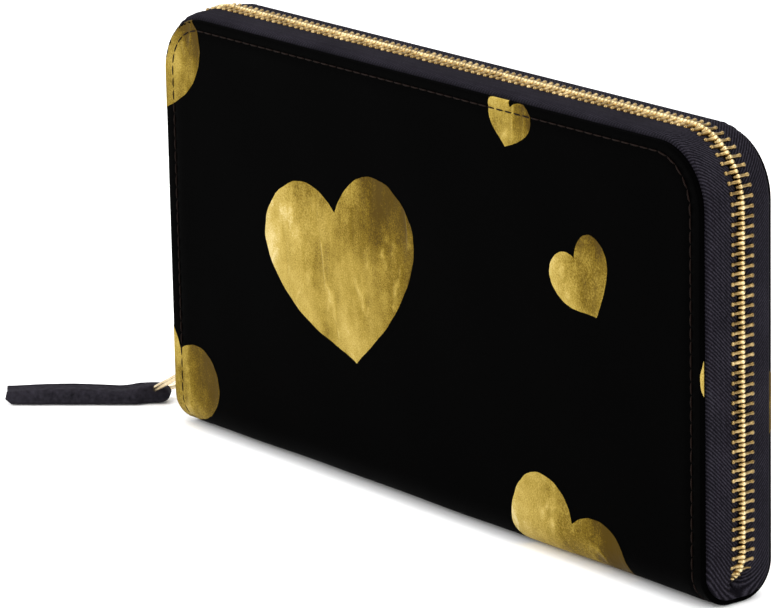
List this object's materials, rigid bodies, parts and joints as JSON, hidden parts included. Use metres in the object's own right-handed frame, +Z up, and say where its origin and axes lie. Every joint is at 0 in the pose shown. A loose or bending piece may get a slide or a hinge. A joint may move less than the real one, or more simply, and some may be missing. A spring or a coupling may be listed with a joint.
{
  "type": "zip around wallet",
  "caption": "Long leather wallet that zips round three sides, standing on its folded spine, with a leather pull, card pockets and a central coin pocket.",
  "frame": {"origin": "middle of the spine's flat underside, which the wallet stands on", "axes": "+X along the length towards the end where the zip finishes, -Y out of the front cover, +Z up from the spine to the opening edge"},
  "size_m": [0.2432, 0.0423, 0.1058],
  "materials": {
    "cover_leather": "smooth printed leather, satin",
    "inner_leather": "fine grain, matt",
    "tab_leather": "pebbled grain",
    "board": "fibre board, matt",
    "lining_cloth": "woven lining",
    "zip_tape": "herringbone weave",
    "zip_metal": "satin",
    "slider_metal": "polished",
    "ring_metal": "polished wire"
  },
  "bodies": {
    "spine": {"spine_leather": "cover_leather", "spine_lining": "lining_cloth", "coin_pocket_front": "lining_cloth", "coin_pocket_back": "lining_cloth", "coin_zip_tape_front": "zip_tape", "coin_zip_tape_back": "zip_tape", "coin_zip_teeth_front": "zip_metal", "coin_zip_teeth_back": "zip_metal", "coin_zip_bottom_stop": "zip_metal"},
    "front_cover": {"front_leather": "cover_leather", "front_cover_board": "board", "front_lining": "lining_cloth", "front_card_pocket_1": "inner_leather", "front_card_pocket_2": "inner_leather", "front_card_pocket_3": "inner_leather", "front_card_pocket_4": "inner_leather", "front_zip_tape": "zip_tape", "front_zip_teeth": "zip_metal", "front_zip_teeth_left": "zip_metal", "front_zip_top_stop": "zip_metal", "front_gusset_left": "lining_cloth", "front_gusset_right": "lining_cloth", "zip_bottom_stop": "zip_metal"},
    "back_cover": {"back_leather": "cover_leather", "back_cover_board": "board", "back_lining": "lining_cloth", "back_card_pocket_1": "inner_leather", "back_card_pocket_2": "inner_leather", "back_card_pocket_3": "inner_leather", "back_card_pocket_4": "inner_leather", "back_zip_tape": "zip_tape", "back_zip_teeth": "zip_metal", "back_zip_teeth_left": "zip_metal", "back_zip_top_stop": "zip_metal", "back_gusset_left": "lining_cloth", "back_gusset_right": "lining_cloth"},
    "slider": {"slider_body": "slider_metal", "slider_bridge": "slider_metal"},
    "ring": {"pull_ring": "ring_metal"},
    "tab": {"pull_tab": "tab_leather"},
    "coin_slider": {"coin_slider_body": "slider_metal", "coin_slider_bridge": "slider_metal"},
    "coin_pull": {"coin_pull": "slider_metal"}
  },
  "joints": [
    {"name": "front_open", "type": "hinge", "parent": "spine", "child": "front_cover", "pos_m": [0, -0.0042, 0.0012], "axis": [1, 0, 0], "range_deg": [0, 30], "deforming": ["front_gusset_left", "front_gusset_right"]},
    {"name": "back_open", "type": "hinge", "parent": "spine", "child": "back_cover", "pos_m": [0, 0.0042, 0.0012], "axis": [1, 0, 0], "range_deg": [-30, 0], "deforming": ["back_gusset_left", "back_gusset_right"]},
    {"name": "slider_travel", "type": "slide", "parent": "front_cover", "child": "slider", "axis": [0, 0, 1], "range_m": [0, 0.064], "deforming": ["front_zip_teeth_left", "back_zip_teeth_left"]},
    {"name": "ring_swing", "type": "hinge", "parent": "slider", "child": "ring", "pos_m": [-0.103, 0, 0.0101], "axis": [0, 1, 0], "range_deg": [0, 95]},
    {"name": "tab_swing", "type": "hinge", "parent": "ring", "child": "tab", "pos_m": [-0.11618, -0.00312, 0.00296], "axis": [-0.6534, 0.6691, -0.3539], "range_deg": [0, 45]},
    {"name": "coin_zip_travel", "type": "slide", "parent": "spine", "child": "coin_slider", "axis": [1, 0, 0], "range_m": [0, 0.146], "deforming": ["coin_zip_teeth_front", "coin_zip_teeth_back"]},
    {"name": "coin_pull_swing", "type": "hinge", "parent": "coin_slider", "child": "coin_pull", "pos_m": [-0.078, 0, 0.08885], "axis": [0, -1, 0], "range_deg": [0, 160]}
  ],
  "couplings": [
    {"joint": "back_open", "follows": "front_open", "ratio": -1}
  ]
}
